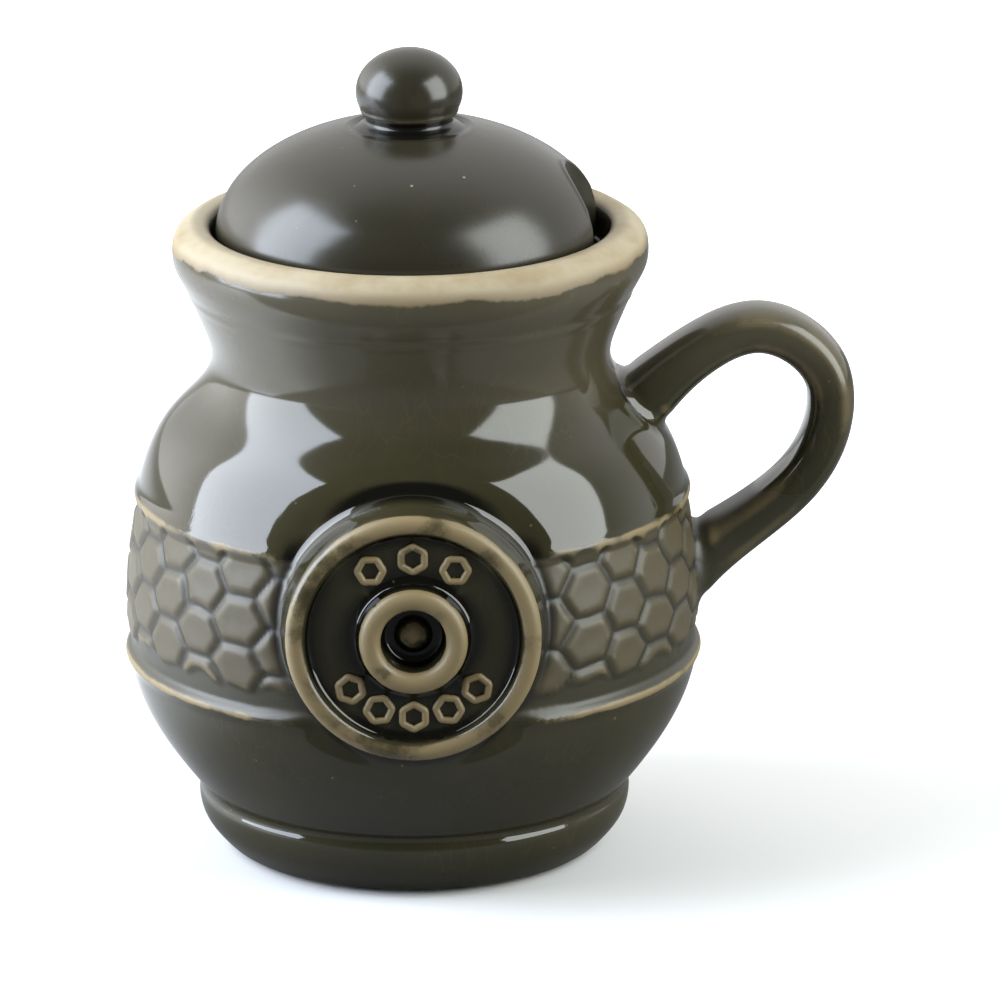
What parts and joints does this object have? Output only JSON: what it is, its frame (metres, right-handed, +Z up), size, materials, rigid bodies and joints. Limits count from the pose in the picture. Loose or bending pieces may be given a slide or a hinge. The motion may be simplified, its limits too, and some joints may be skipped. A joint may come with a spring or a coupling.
{
  "type": "ceramic honey pot",
  "caption": "Round glazed ceramic honey pot with a strap handle, a raised front medallion, a honeycomb band and a loose domed lid notched for a dipper.",
  "frame": {"origin": "centre of the foot's flat base, on the pot's axis", "axes": "+Z up along the pot's axis; -Y is the front, with the medallion; +X is the handle's side"},
  "size_m": [0.124, 0.1015, 0.1383],
  "materials": {
    "pot_glaze": "glossy",
    "lid_glaze": "satin"
  },
  "bodies": {
    "root": {"pot": "pot_glaze", "lid": "lid_glaze"}
  },
  "joints": []
}
